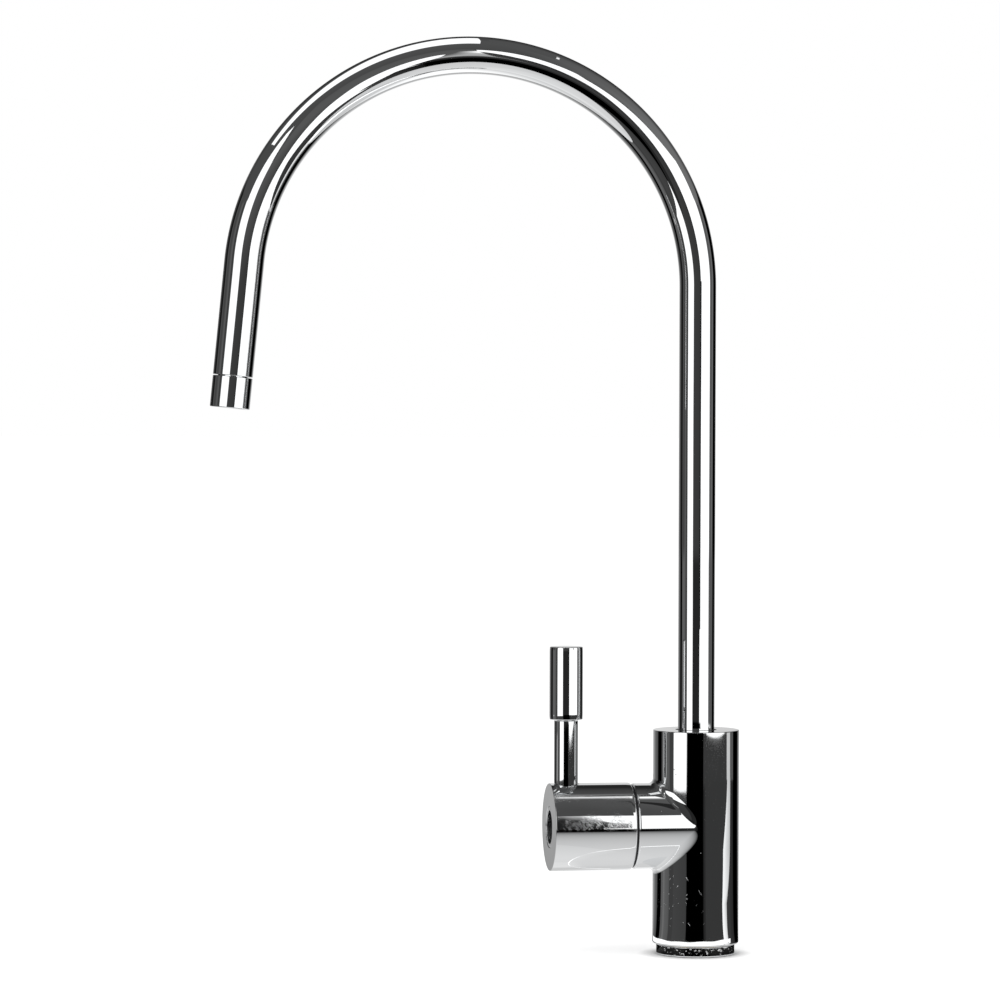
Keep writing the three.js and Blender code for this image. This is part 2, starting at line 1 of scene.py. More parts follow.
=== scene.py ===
"""Looks of a three way filtered water tap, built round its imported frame.

Every piece is a mesh of exact points and normals: turned profiles with rounded corners, a
swept tube, and cylinder walls with branches blended into them. Lengths are in millimetres
until a mesh is finished, and the frame is in metres.
"""

import math
from types import SimpleNamespace as Sizes

import bpy
import numpy as np
from mathutils import Matrix, Vector


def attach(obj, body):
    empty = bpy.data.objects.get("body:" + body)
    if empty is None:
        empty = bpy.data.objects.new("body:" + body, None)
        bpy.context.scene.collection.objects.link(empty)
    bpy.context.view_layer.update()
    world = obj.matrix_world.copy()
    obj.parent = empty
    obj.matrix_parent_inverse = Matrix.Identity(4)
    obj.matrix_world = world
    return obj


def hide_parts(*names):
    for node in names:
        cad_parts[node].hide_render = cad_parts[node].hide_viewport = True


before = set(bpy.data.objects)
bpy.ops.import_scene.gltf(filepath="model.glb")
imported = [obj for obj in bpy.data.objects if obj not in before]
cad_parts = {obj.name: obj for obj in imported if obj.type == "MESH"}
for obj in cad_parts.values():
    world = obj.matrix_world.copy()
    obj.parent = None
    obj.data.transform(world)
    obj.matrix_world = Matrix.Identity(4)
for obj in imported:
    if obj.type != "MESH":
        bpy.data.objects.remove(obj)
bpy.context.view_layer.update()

MM = 0.001
TURN = 2 * math.pi

# ---------------------------------------------------------------- sizes

body = Sizes(radius=14.1, bottom=3.6, top=73.5, bottom_chamfer=0.4, edge=0.3)
boss = Sizes(radius=14.0, end=21.4, height=42.0, blend=1.8)
socket = Sizes(radius=6.45, floor=53.5)
dust_seal = Sizes(inner=6.12, outer=6.6, bottom=72.1, top=73.55)
shank_socket = Sizes(radius=9.15, top=11.0)
cartridge_bore = Sizes(floor=7.0, radius=9.6, end=17.7, thread=10.6)
grub = Sizes(hole=2.1, height=63.8)

base_ring = Sizes(outer=12.8, inner=9.5, bottom=0.15, top=3.3)
gasket = Sizes(inner=10.4, outer=11.8, top=1.7)
shank = Sizes(radius=9.0, bore=7.5, bottom=-55.0, top=10.8, pitch=1.0, depth=0.55)
rubber_washer = Sizes(outer=15.0, bottom=-32.0, top=-30.0)
steel_washer = Sizes(outer=15.5, bottom=-33.8, top=-32.3)
lock_nut = Sizes(across_flats=24.0, bottom=-40.1, top=-34.1)

spout = Sizes(radius=6.0, bore=5.0, foot=66.3, riser_top=218.3, arch=74.5, straight=37.1)
spout.lean = math.radians(5.6)
spout.outlet_radius = 6.44
spout.widens_from = math.radians(80)  # turn of the arch where the tube begins to widen
nozzle = Sizes(start=37.4, rim=47.5, neck=6.2, neck_bore=3.6, chamber=5.1, chamber_depth=7.6)
spigot = Sizes(radius=6.2, bottom=53.9, shoulder=66.0, top=74.0, neck=4.8, bore=2.8)
spigot.ring_low, spigot.ring_high = 55.9, 59.3  # the heights of its two sealing rings
spigot.ring_floor, spigot.grub_floor = 4.5, 5.1  # radii of the floors of its grooves

barrel = Sizes(radius=14.3, start=21.95, end=48.7, skirt_bore=12.4, skirt_end=33.0, edge=0.4)
barrel.hub_bore = 3.1
recess = Sizes(radius=5.6, floor=41.0, seat=6.85, seat_floor=46.4)
end_ring = Sizes(outer=6.7, inner=5.5, start=46.6, end=48.6)
glide_ring = Sizes(inner=11.45, sleeve=12.2, outer=13.6, start=21.5, face=21.8, end=25.5)
handle_washer = Sizes(inner=2.2, outer=4.6, start=41.1, end=41.9)
lever = Sizes(place=43.2, radius=3.9, foot=3.0, foot_bottom=7.8, seat=12.35)
grip = Sizes(bottom=35.1, top=58.9, radius=5.45, tenon_top=50.0)

POLISHED = 0.09  # how far polishing has worn down the ends of the grip and the barrel

FINE, MEDIUM, SMALL = 144, 96, 48  # segments round large, middling and small pieces


# ---------------------------------------------------------------- mesh building

class Axis:
    """A place to turn a profile: points are origin + radius * direction(angle) + along * axis."""

    def __init__(self, origin, axis, zero, quarter):
        self.origin = np.array(origin, float)
        self.axis = np.array(axis, float)
        self.zero = np.array(zero, float)
        self.quarter = np.array(quarter, float)

    def direction(self, angle):
        angle = np.asarray(angle, float)[..., None]
        return np.cos(angle) * self.zero + np.sin(angle) * self.quarter

    def place(self, radius, angle, along):
        radius = np.asarray(radius, float)[..., None]
        along = np.asarray(along, float)[..., None]
        return self.origin + radius * self.direction(angle) + along * self.axis


UPRIGHT = Axis((0, 0, 0), (0, 0, 1), (-1, 0, 0), (0, 1, 0))
VALVE = Axis((0, 0, boss.height), (-1, 0, 0), (0, 0, 1), (0, 1, 0))
LEVER = Axis((-lever.place, 0, boss.height), (0, 0, 1), (-1, 0, 0), (0, 1, 0))


def full_circle(count):
    return np.linspace(-math.pi, math.pi, count + 1)


def rounded(corners, closed=False, edge=0.12, steps=4):
    """Rows of (radius, along, normal radius, normal along) for a profile of (radius, along)
    or (radius, along, rounding) corners. It runs anticlockwise, with the material on its left."""
    count = len(corners)
    rows = []
    for i, corner in enumerate(corners):
        here = np.array(corner[:2], float)
        if not closed and i in (0, count - 1):
            other = np.array(corners[1 if i == 0 else count - 2][:2], float)
            way = (other - here) if i == 0 else (here - other)
            way /= np.linalg.norm(way)
            rows.append((*here, way[1], -way[0]))
            continue
        before = np.array(corners[i - 1][:2], float)
        after = np.array(corners[(i + 1) % count][:2], float)
        room = 0.45 * min(np.linalg.norm(here - before), np.linalg.norm(after - here))
        came = (here - before) / np.linalg.norm(here - before)
        goes = (after - here) / np.linalg.norm(after - here)
        turn = math.atan2(came[0] * goes[1] - came[1] * goes[0], float(came @ goes))
        if abs(turn) < 1e-6:
            rows.append((*here, came[1], -came[0]))
            continue
        radius = corner[2] if len(corner) > 2 else edge
        radius = min(radius, room / abs(math.tan(turn / 2)))
        start = here - came * radius * abs(math.tan(turn / 2))
        first = math.atan2(came[1], came[0])
        side = math.copysign(radius, turn)
        for step in range(steps + 1):
            angle = first + turn * step / steps
            x = start[0] + side * (math.sin(angle) - math.sin(first))
            y = start[1] - side * (math.cos(angle) - math.cos(first))
            rows.append((x, y, math.sin(angle), -math.cos(angle)))
    if closed:
        rows.append(rows[0])
    return np.array(rows)


class Shell:
    """Grids of points with exact normals, welded into one mesh with its faces outward."""

    def __init__(self):
        self.points = []
        self.normals = []
        self.faces = []
        self.count = 0

    def add(self, points, normals):
        shape = points.shape[:-1]
        index = np.arange(self.count, self.count + int(np.prod(shape))).reshape(shape)
        self.points.append(points.reshape(-1, 3))
        self.normals.append(np.broadcast_to(normals, points.shape).reshape(-1, 3))
        self.count += index.size
        return index

    def grid(self, points, normals, keep=None):
        index = self.add(np.asarray(points, float), np.asarray(normals, float))
        quads = np.stack([index[:-1, :-1], index[1:, :-1], index[1:, 1:], index[:-1, 1:]], -1)
        if keep is not None:
            quads = quads[keep]
        self.faces += quads.reshape(-1, 4).tolist()

    def turned(self, axis, rows, angles):
        """The profile's rows turned about the axis through the angles."""
        angles = np.asarray(angles, float)
        direction = axis.direction(angles)[None]
        points = axis.origin + rows[:, 0, None, None] * direction + rows[:, 1, None, None] * axis.axis
        normals = rows[:, 2, None, None] * direction + rows[:, 3, None, None] * axis.axis
        self.grid(points, normals)

    def bridge(self, first, second, normals_first, normals_second):
        """Triangles between two closed rings of points that run the same way round."""
        a = self.add(first, normals_first)
        b = self.add(second, normals_second)
        i = j = 0
        while i < len(a) or j < len(b):
            if j >= len(b) or (i < len(a) and i * len(b) <= j * len(a)):
                self.faces.append([a[i % len(a)], a[(i + 1) % len(a)], b[j % len(b)]])
                i += 1
            else:
                self.faces.append([a[i % len(a)], b[(j + 1) % len(b)], b[j % len(b)]])
                j += 1

    def finish(self, name, body_name, material, replaces=(), exact=True):
        """Welds, turns the faces outward and makes the object, riding on its body."""
        points = np.concatenate(self.points)
        normals = np.concatenate(self.normals)
        cell = 1e-4
        keys = np.floor(points / cell + 0.37).astype(np.int64)
        _, first, group = np.unique(keys, axis=0, return_index=True, return_inverse=True)
        group = group.reshape(-1)
        merged = points[first]
        bent = np.zeros_like(merged)
        np.add.at(bent, group, normals)
        bent /= np.maximum(np.linalg.norm(bent, axis=1, keepdims=True), 1e-12)
        faces = []
        for face in self.faces:
            corners = []
            for corner in face:
                welded = int(group[corner])
                if welded not in corners:
                    corners.append(welded)
            if len(corners) < 3:
                continue
            p = merged[corners]
            area = np.zeros(3)
            for k in range(1, len(corners) - 1):
                area += np.cross(p[k] - p[0], p[k + 1] - p[0])
            if area @ normals[face].sum(0) < 0:
                corners.reverse()
            faces.append(corners)
        mesh = bpy.data.meshes.new(name)
        mesh.from_pydata((merged * MM).tolist(), [], faces)
        mesh.polygons.foreach_set("use_smooth", [True] * len(mesh.polygons))
        mesh.update()
        if exact:
            mesh.normals_split_custom_set_from_vertices(bent.tolist())
        else:
            mesh.set_sharp_from_angle(angle=math.radians(28))
        piece = bpy.data.objects.new(name, mesh)
        bpy.context.scene.collection.objects.link(piece)
        piece.data.materials.append(material)
        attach(piece, body_name)
        if replaces:
            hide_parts(*replaces)
        return piece


def ring(inner, outer, start, end):
    """The corners of a plain ring's section."""
    return [(inner, start), (outer, start), (outer, end), (inner, end)]


def lathe(name, body_name, material, slot, node, axis, corners, segments=MEDIUM, **options):
    """One turned piece that stands for a node. Profiles that don't start on the axis close."""
    closed = corners[0][0] > 0
    shell = Shell()
    shell.turned(axis, rounded(corners, closed=closed, **options), full_circle(segments))
    return shell.finish(name, body_name, material, replaces=(node,))


class Branch:
    """A round boss or hole square to a cylinder's wall, with the edge between them rounded.

    The rounding is the path of a ball. It rolls outside the wall and the boss, or, for a
    hole, inside the material, and touches both all the way round. It swells where the two
    surfaces meet at a flat angle, so that the rounding stays about equally wide."""

    def __init__(self, wall_axis, wall_radius, at_angle, at_along, radius, blend, hole, inner_wall):
        self.axis, self.wall_radius = wall_axis, wall_radius
        self.at_angle, self.at_along, self.radius = at_angle, at_along, radius
        self.blend = blend
        self.side = -1 if hole else 1  # which way the normals point from the ball's centre
        self.ball_side = 1 if hole == inner_wall else -1  # outside the wall or inside it
        self.out = wall_axis.direction(at_angle)
        self.across = wall_axis.direction(at_angle + math.pi / 2)
        self.centre = wall_axis.origin + at_along * wall_axis.axis

    def ball(self, alpha):
        """The ball's radius, and its centre's distances from the wall's and the branch's axes."""
        flatness = self.radius / self.wall_radius * np.sin(alpha) ** 2
        size = self.blend * np.sqrt((1 + flatness) / (1 - flatness))
        return size, self.wall_radius + self.ball_side * size, self.radius + size

    def wall_offset(self, alpha):
        """Where the ball touches the wall: angle and distance along it from the middle."""
        _, out, round_ = self.ball(alpha)
        return np.arcsin(round_ * np.sin(alpha) / out), round_ * np.cos(alpha)

    def alpha_towards(self, angle, along):
        """The alpha whose touching point lies in the direction of a point of the wall."""
        table = np.linspace(-math.pi, math.pi, 20001)
        touch_angle, touch_along = self.wall_offset(table)
        heading = np.unwrap(np.arctan2(touch_angle * self.wall_radius, touch_along))
        wanted = np.arctan2(angle * self.wall_radius, along)
        return np.interp(wanted, heading, table)

    def round_direction(self, alpha):
        alpha = np.asarray(alpha, float)[..., None]
        return np.cos(alpha) * self.axis.axis + np.sin(alpha) * self.across

    def blend_rows(self, alpha, steps=8):
        """Points and normals from the wall's touching line to the branch's own."""
        size, out, round_ = (part[:, None] for part in self.ball(alpha))
        angle, _ = self.wall_offset(alpha)
        centres = self.centre + out * np.cos(angle)[:, None] * self.out
        centres = centres + round_ * self.round_direction(alpha)
        wall_way = -self.ball_side * self.axis.direction(self.at_angle + angle)
        branch_way = -self.round_direction(alpha)
        between = np.arccos(np.clip((wall_way * branch_way).sum(-1), -1, 1))[:, None]
        rows, normals = [], []
        for step in range(steps + 1):
            share = step / steps
            ways = np.sin((1 - share) * between) * wall_way + np.sin(share * between) * branch_way
            ways /= np.sin(between)
            rows.append(centres + size * ways)
            normals.append(-self.side * ways)
        return np.array(rows), np.array(normals)


def near(values, wanted):
    return int(np.argmin(np.abs(np.asarray(values) - wanted)))


def wall(shell, axis, radius, columns, rows, branches, inward=False):
    """A cylinder's wall between the first and last row, with branches let into it. Each
    branch is (branch, half width, half height); its rectangle follows the grid's lines.
    Returns each branch's alphas, in order round it."""
    columns, rows = np.asarray(columns), np.asarray(rows)
    sign = -1 if inward else 1
    keep = np.ones((len(rows) - 1, len(columns) - 1), bool)
    found = []
    for branch, half_angle, half_height in branches:
        left = near(columns, branch.at_angle - half_angle)
        right = near(columns, branch.at_angle + half_angle)
        low = near(rows, branch.at_along - half_height)
        high = near(rows, branch.at_along + half_height)
        keep[low:high, left:right] = False
        edge = [(c, rows[high]) for c in columns[left:right]]
        edge += [(columns[right], r) for r in rows[high:low:-1]]
        edge += [(c, rows[low]) for c in columns[right:left:-1]]
        edge += [(columns[left], r) for r in rows[low:high]]
        edge = np.array(edge + edge[:1])
        outer = edge - (branch.at_angle, branch.at_along)
        alpha = branch.alpha_towards(outer[:, 0], outer[:, 1])
        inner = np.stack(branch.wall_offset(alpha), -1)
        shares = np.linspace(0, 1, 7)[:, None, None]
        patch = inner + (outer - inner) * shares
        points = axis.place(radius, patch[..., 0] + branch.at_angle, patch[..., 1] + branch.at_along)
        shell.grid(points, sign * axis.direction(patch[..., 0] + branch.at_angle))
        blend_points, blend_normals = branch.blend_rows(alpha)
        shell.grid(blend_points, blend_normals)
        found.append((alpha, blend_points[-1], blend_normals[-1]))
    across, along = np.meshgrid(columns, rows)
    shell.grid(axis.place(radius, across, along), sign * axis.direction(across), keep=keep)
    return found


def with_values(values, *extra):
    """The sorted values with each extra one in place of its nearest neighbour."""
    values = np.array(values, float)
    for one in extra:
        values[near(values, one)] = one
    return np.sort(values)


# ---------------------------------------------------------------- materials

def node(tree, kind, settings=None, **inputs):
    """A shader node. Inputs are given by name, with _ for a space, as values or sockets."""
    made = tree.nodes.new(kind)
    for key, value in (settings or {}).items():
        setattr(made, key, value)
    for key, value in inputs.items():
        put(tree, made.inputs[key.replace("_", " ")], value)
    return made


def put(tree, socket_in, value):
    if isinstance(value, bpy.types.NodeSocket):
        tree.links.new(value, socket_in)
    else:
        socket_in.default_value = value


def maths(tree, operation, first, second=0.0):
    made = tree.nodes.new("ShaderNodeMath")
    made.operation = operation
    put(tree, made.inputs[0], first)
    put(tree, made.inputs[1], second)
    return made.outputs[0]


def between(tree, value, low, high, to_low, to_high):
    made = node(tree, "ShaderNodeMapRange", Value=value, From_Min=low, From_Max=high)
    made.inputs["To Min"].default_value = to_low
    made.inputs["To Max"].default_value = to_high
    return made.outputs["Result"]


def mixed(tree, share, first, second):
    """A colour between two, each given as red, green and blue or as a socket."""
    made = node(tree, "ShaderNodeMix", {"data_type": "RGBA"}, Factor=share)
    for place, colour in ((6, first), (7, second)):
        put(tree, made.inputs[place], (*colour, 1) if isinstance(colour, tuple) else colour)
    return made.outputs[2]


def new_material(name):
    material = bpy.data.materials.new(name)
    material.use_nodes = True
    return material, material.node_tree, material.node_tree.nodes["Principled BSDF"]


def bare_material(name):
    """A material without its shader, for a stage surface."""
    material, tree, _ = new_material(name)
    tree.nodes.clear()
    return material, tree


def object_place(tree):
    return tree.nodes.new("ShaderNodeTexCoord").outputs["Object"]


def noise(tree, place, size, detail=2.0, stretch=(1, 1, 1), turn=(0, 0, 0)):
    """Noise whose features are about `size` millimetres, longer where stretch is over 1."""
    mapped = node(
        tree, "ShaderNodeMapping", {"vector_type": "TEXTURE"},
        Vector=place, Rotation=turn, Scale=stretch,
    )
    made = node(tree, "ShaderNodeTexNoise", Vector=mapped.outputs[0], Scale=1 / (size * MM))
    made.inputs["Detail"].default_value = detail
    return made.outputs["Fac"]


def scratches(tree, place, size, length, tilt, least):
    """Fine straight lines in the XZ plane, `size` mm wide, 1 on a scratch and 0 beside it.
    Fewer points of the noise reach a higher `least`."""
    lines = noise(tree, place, size, 1.0, (length, 1, 1), (0, math.radians(tilt), 0))
    return between(tree, lines, least, least + 0.05, 0.0, 1.0)


def crossed(tree, place, first, *others):
    """Sets of scratches over one another, each given as size, length, tilt and least."""
    lines = scratches(tree, place, *first)
    for one in others:
        lines = maths(tree, "MAXIMUM", lines, scratches(tree, place, *one))
    return lines


def within(tree, value, low, high, soft):
    """1 where a coordinate lies between two values in millimetres, fading over `soft`."""
    rises = between(tree, value, (low - soft) * MM, low * MM, 0.0, 1.0)
    falls = between(tree, value, high * MM, (high + soft) * MM, 1.0, 0.0)
    return maths(tree, "MULTIPLY", rises, falls)


def coordinates(tree, place):
    return node(tree, "ShaderNodeSeparateXYZ", Vector=place).outputs


def set_surface(tree, shader, colour, gloss, height, depth, metallic):
    bump = node(tree, "ShaderNodeBump", Height=height, Strength=1.0, Distance=depth)
    put(tree, shader.inputs["Base Color"], colour)
    put(tree, shader.inputs["Roughness"], gloss)
    put(tree, shader.inputs["Normal"], bump.outputs[0])
    shader.inputs["Metallic"].default_value = metallic


def chrome(name, roughness=0.025, wave=0.15, wave_size=22, marks=()):
    """Polished chrome plate: faint waves `wave` mm high that bend reflections, smears in the
    gloss, marks of use, and painted shade where a mark darkens a recess. Each mark is a function
    of (tree, place) that gives a mask, and how much rougher, higher in mm and darker the plate is where the
    mask is 1."""
    material, tree, shader = new_material(name)
    place = object_place(tree)
    smears = noise(tree, place, 9, 3.0)
    gloss = between(tree, smears, 0.3, 0.75, roughness * 0.6, roughness * 1.6)
    height = maths(tree, "MULTIPLY", noise(tree, place, wave_size, 0.0), wave)
    tint = between(tree, noise(tree, place, 30), 0.3, 0.7, 0.0, 1.0)
    colour = mixed(tree, tint, (0.86, 0.875, 0.885), (0.885, 0.89, 0.895))
    for mark in marks:
        mask, rougher, higher, darker = mark(tree, place)
        gloss = maths(tree, "ADD", gloss, maths(tree, "MULTIPLY", mask, rougher))
        height = maths(tree, "ADD", height, maths(tree, "MULTIPLY", mask, higher))
        if darker:
            colour = mixed(tree, maths(tree, "MULTIPLY", mask, darker), colour, (0.02, 0.02, 0.02))
    set_surface(tree, shader, colour, gloss, height, MM, 1.0)
    return material


def plain(name, dark, light, roughness, metallic=0.0, grain=0.4, depth=0.00002, stretch=(1, 1, 1)):
    """A moulded, machined or fired surface: two tones in a fine grain, with a bump to match."""
    material, tree, shader = new_material(name)
    place = object_place(tree)
    fine = noise(tree, place, grain, 4.0, stretch)
    broad = noise(tree, place, 12, 2.0)
    both = maths(tree, "MULTIPLY", maths(tree, "ADD", fine, broad), 0.5)
    tone = between(tree, both, 0.38, 0.62, 0.0, 1.0)
    gloss = between(tree, both, 0.3, 0.7, roughness * 0.8, roughness * 1.2)
    set_surface(tree, shader, mixed(tree, tone, dark, light), gloss, fine, depth, metallic)
    return material


def barrel_scratches(tree, place):
    """Fine crossed scratches on the upper front of the barrel."""
    _, y, z = coordinates(tree, place)
    lines = crossed(
        tree, place, (0.22, 22, 42, 0.57), (0.22, 22, 52, 0.60), (0.3, 14, -45, 0.66)
    )
    patches = between(tree, noise(tree, place, 5), 0.36, 0.52, 0.0, 1.0)
    where = maths(tree, "MULTIPLY", within(tree, z, 42.5, 51, 3), within(tree, y, -16, -6, 3))
    mask = maths(tree, "MULTIPLY", lines, maths(tree, "MULTIPLY", where, patches))
    return mask, 0.1, -0.0016, 0.0


def recess_dull_painted_shade(tree, place):
    """The recess behind the end ring isn't polished: it is rougher, and its colour is darkened towards
    black as painted shade.
    """
    _, y, z = coordinates(tree, place)
    up = maths(tree, "SUBTRACT", z, boss.height * MM)
    squares = maths(tree, "ADD", maths(tree, "MULTIPLY", y, y), maths(tree, "MULTIPLY", up, up))
    from_axis = maths(tree, "SQRT", squares)
    # The 0.75 darkens the recess's colour towards black: painted shade.
    return between(tree, from_axis, 5.8 * MM, 6.2 * MM, 1.0, 0.0), 0.4, 0.0, 0.75


def body_scratches(tree, place):
    """A few long scratches low on the front of the body."""
    x, _, z = coordinates(tree, place)
    lines = crossed(tree, place, (0.6, 9, 60, 0.72), (0.6, 9, -55, 0.71))
    where = maths(tree, "MULTIPLY", within(tree, z, 11, 27, 3), within(tree, x, -12, -2, 3))
    return maths(tree, "MULTIPLY", lines, where), 0.3, -0.003, 0.0


def specks(tree, place):
    """Sparse dust and tiny pits."""
    dots = node(tree, "ShaderNodeTexVoronoi", Vector=place, Scale=1 / (2.2 * MM)).outputs["Distance"]
    small = between(tree, dots, 0.05, 0.09, 1.0, 0.0)
    few = between(tree, noise(tree, place, 4), 0.58, 0.62, 0.0, 1.0)
    return maths(tree, "MULTIPLY", small, few), 0.35, 0.01, 0.3


def ring_mottle(tree, place):
    """The base ring is speckled where water has dried on it."""
    return between(tree, noise(tree, place, 0.9, 3.0), 0.6, 0.68, 0.0, 1.0), 0.3, 0.015, 0.0


chrome_plain = chrome("chrome_plate")
chrome_body = chrome("chrome_plate_body", marks=(body_scratches, specks))
# The barrel's plate is darkened in its recess as painted shade.
chrome_barrel = chrome("chrome_plate_barrel", marks=(barrel_scratches, specks, recess_dull_painted_shade))
chrome_ring = chrome("chrome_plate_ring", roughness=0.06, marks=(ring_mottle,))
acetal = plain("black_acetal", (0.02, 0.02, 0.022), (0.035, 0.035, 0.037), 0.5)
rubber = plain("black_rubber", (0.015, 0.015, 0.016), (0.035, 0.035, 0.036), 0.75)
brass = plain("machined_brass", (0.66, 0.49, 0.23), (0.78, 0.60, 0.31), 0.3, 1.0)
steel = plain("stainless_steel", (0.56, 0.57, 0.58), (0.68, 0.69, 0.70), 0.28, 1.0)
dull_steel = plain("dull_steel", (0.16, 0.16, 0.165), (0.24, 0.24, 0.245), 0.5, 1.0)
ceramic = plain("lapped_alumina", (0.88, 0.86, 0.81), (0.93, 0.92, 0.88), 0.22)
white_plastic = plain("white_plastic", (0.80, 0.80, 0.78), (0.87, 0.87, 0.85), 0.45)


# ---------------------------------------------------------------- body

def make_body():
    shell = Shell()
    boss_side, boss_reach = math.radians(100), 18  # half the patch of wall that holds the boss
    wall_low, wall_high = boss.height - boss_reach, boss.height + boss_reach
    quarter = math.pi / 2
    grub_half, grub_reach = math.radians(14), 3.2
    boss_start, slack = 16.5, 0.15
    columns = with_values(
        full_circle(FINE), -boss_side, boss_side, quarter - grub_half, quarter, quarter + grub_half
    )
    grub_low, grub_high = grub.height - grub_reach, grub.height + grub_reach
    boss_rows = np.linspace(wall_low, wall_high, 49)
    grub_rows = np.linspace(grub_low, grub_high, 9)
    rows = np.concatenate([boss_rows, grub_rows])
    outer_boss = Branch(UPRIGHT, body.radius, 0, boss.height, boss.radius, boss.blend, False, False)
    grub_outer = Branch(UPRIGHT, body.radius, quarter, grub.height, grub.hole, 0.2, True, False)
    grub_inner = Branch(UPRIGHT, socket.radius, quarter, grub.height, grub.hole, 0.1, True, True)

    below = rounded([
        (0, shank_socket.top),
        (shank_socket.radius, shank_socket.top),
        (shank_socket.radius, body.bottom),
        (body.radius - body.bottom_chamfer, body.bottom),
        (body.radius, body.bottom + body.bottom_chamfer, 0.3),
        (body.radius, wall_low),
    ])
    above = rounded([
        (body.radius, grub_high),
        (body.radius, body.top, body.edge),
        (dust_seal.outer + slack, body.top, 0.1),
        (dust_seal.outer + slack, dust_seal.bottom - 0.2, 0.05),
        (socket.radius, dust_seal.bottom - 0.2, 0.05),
        (socket.radius, grub_high),
    ])
    bore = rounded([(socket.radius, grub_low), (socket.radius, socket.floor), (0, socket.floor)])
    for profile in (below, above, bore):
        shell.turned(UPRIGHT, profile, columns)
    rings = wall(
        shell, UPRIGHT, body.radius, columns, rows,
        [(outer_boss, boss_side, boss_reach), (grub_outer, grub_half, grub_reach)],
    )
    boss_alpha = rings[0][0]
    hole = wall(
        shell, UPRIGHT, socket.radius, columns, grub_rows,
        [(grub_inner, 2 * grub_half, grub_reach)], inward=True,
    )[0]
    shell.bridge(rings[1][1][:-1], hole[1][:-1], rings[1][2][:-1], hole[2][:-1])

    # The boss runs on from its blend to its end, and back down its stepped bore.
    profile = rounded([
        (boss.radius, boss_start),
        (boss.radius, boss.end, 0.8),
        (cartridge_bore.thread, boss.end),
        (cartridge_bore.thread, cartridge_bore.end),
        (cartridge_bore.radius, cartridge_bore.end),
        (cartridge_bore.radius, cartridge_bore.floor),
        (0, cartridge_bore.floor),
    ])
    shell.turned(VALVE, profile, boss_alpha)
    first = VALVE.place(boss.radius, boss_alpha, boss_start)
    shell.grid(np.stack([rings[0][1], first]), np.stack([rings[0][2], rings[0][2]]))
    return shell.finish("body_chromed", "tap_body", chrome_body, ("body",))


def make_base():
    groove_top = gasket.top + 0.3
    lathe(
        "base_ring_turned", "tap_body", chrome_ring, "chrome", "base_ring", UPRIGHT,
        [
            (base_ring.inner, base_ring.bottom),
            (gasket.inner - 0.15, base_ring.bottom),
            (gasket.inner - 0.15, groove_top),
            (gasket.outer + 0.15, groove_top),
            (gasket.outer + 0.15, base_ring.bottom),
            (base_ring.outer, base_ring.bottom, 0.15),
            (base_ring.outer, base_ring.top, 0.2),
            (base_ring.inner, base_ring.top),
        ],
        FINE,
    )
    lathe(
        "base_gasket_moulded", "tap_body", rubber, "rubber", "base_gasket", UPRIGHT,
        ring(gasket.inner, gasket.outer, 0, gasket.top),
        FINE, edge=0.25,
    )
    lathe(
        "spout_seal_moulded", "tap_body", acetal, "acetal", "spout_dust_seal", UPRIGHT,
        [
            (dust_seal.inner, dust_seal.bottom),
            (dust_seal.outer, dust_seal.bottom),
            (dust_seal.outer, dust_seal.top, 0.08),
            (dust_seal.inner, dust_seal.top, 0.08),
        ],
        FINE, edge=0.08,
    )


def make_fixing():
    """The threaded shank, its washers and the lock nut."""
    hole = shank.radius + 0.3
    shell = Shell()
    low, high = shank.bottom + 0.4, 3.0
    rows = np.arange(low, high, shank.pitch / 8)
    angles = full_circle(64)
    turn, along = np.meshgrid(angles, rows)
    phase = TURN * along / shank.pitch - turn
    fade = np.clip(np.minimum(along - low, high - shank.pitch - along) / shank.pitch, 0, 1)
    depth = shank.depth / 2
    radius = shank.radius - depth * (1 - np.cos(phase)) * fade
    radius = radius - 2 * depth * np.clip(1 - (along - low) / shank.pitch, 0, 1)
    slope_along = np.gradient(radius, rows, axis=0)
    slope_turn = depth * np.sin(-phase) * fade / radius
    points = UPRIGHT.place(radius, turn, along)
    tangent = UPRIGHT.direction(turn + math.pi / 2)
    normals = UPRIGHT.direction(turn) - slope_turn[..., None] * tangent
    normals = normals - slope_along[..., None] * UPRIGHT.axis
    normals /= np.linalg.norm(normals, axis=-1, keepdims=True)
    shell.grid(points, normals)
    ends = rounded([
        (float(radius[-1, 0]), float(rows[-1])),
        (float(radius[-1, 0]), shank.top, 0.3),
        (shank.bore, shank.top),
        (shank.bore, shank.bottom),
        (float(radius[0, 0]), shank.bottom, 0.3),
        (float(radius[0, 0]), float(rows[0])),
    ])
    shell.turned(UPRIGHT, ends, angles)
    shell.finish("shank_threaded", "tap_body", brass, ("threaded_shank",))
    for name, material, slot, one, washer_edge in (
        ("deck_rubber_washer", rubber, "rubber", rubber_washer, 0.4),
        ("deck_clamp_washer", steel, "steel", steel_washer, 0.25),
    ):
        lathe(
            name + "_fitted", "tap_body", material, slot, name, UPRIGHT,
            ring(hole, one.outer, one.bottom, one.top),
            FINE, edge=washer_edge,
        )
    make_nut(hole)


def make_nut(hole):
    """A hexagon whose corners are cut back by a cone at both ends."""
    shell = Shell()
    angles = full_circle(FINE)
    flat = lock_nut.across_flats / 2
    crown, lead = flat * 0.97, 0.5  # where the cones begin, and the chamfer of the bore
    corner = flat / np.cos((angles + math.pi / 6) % (math.pi / 3) - math.pi / 6)
    drop = (corner - crown) * math.tan(math.radians(30))
    low, high = lock_nut.bottom, lock_nut.top
    rows = [
        (hole, low + lead), (hole + lead, low), (crown, low), (corner, low + drop),
        (corner, high - drop), (crown, high), (hole + lead, high), (hole, high - lead),
        (hole, low + lead),
    ]
    points = np.array([UPRIGHT.place(r, angles, z) for r, z in rows])
    middle = UPRIGHT.place((hole + flat) / 2, angles, (low + high) / 2)
    shell.grid(points, points - middle)
    shell.finish("lock_nut_chamfered", "tap_body", brass, ("lock_nut",), exact=False)


# ---------------------------------------------------------------- spout

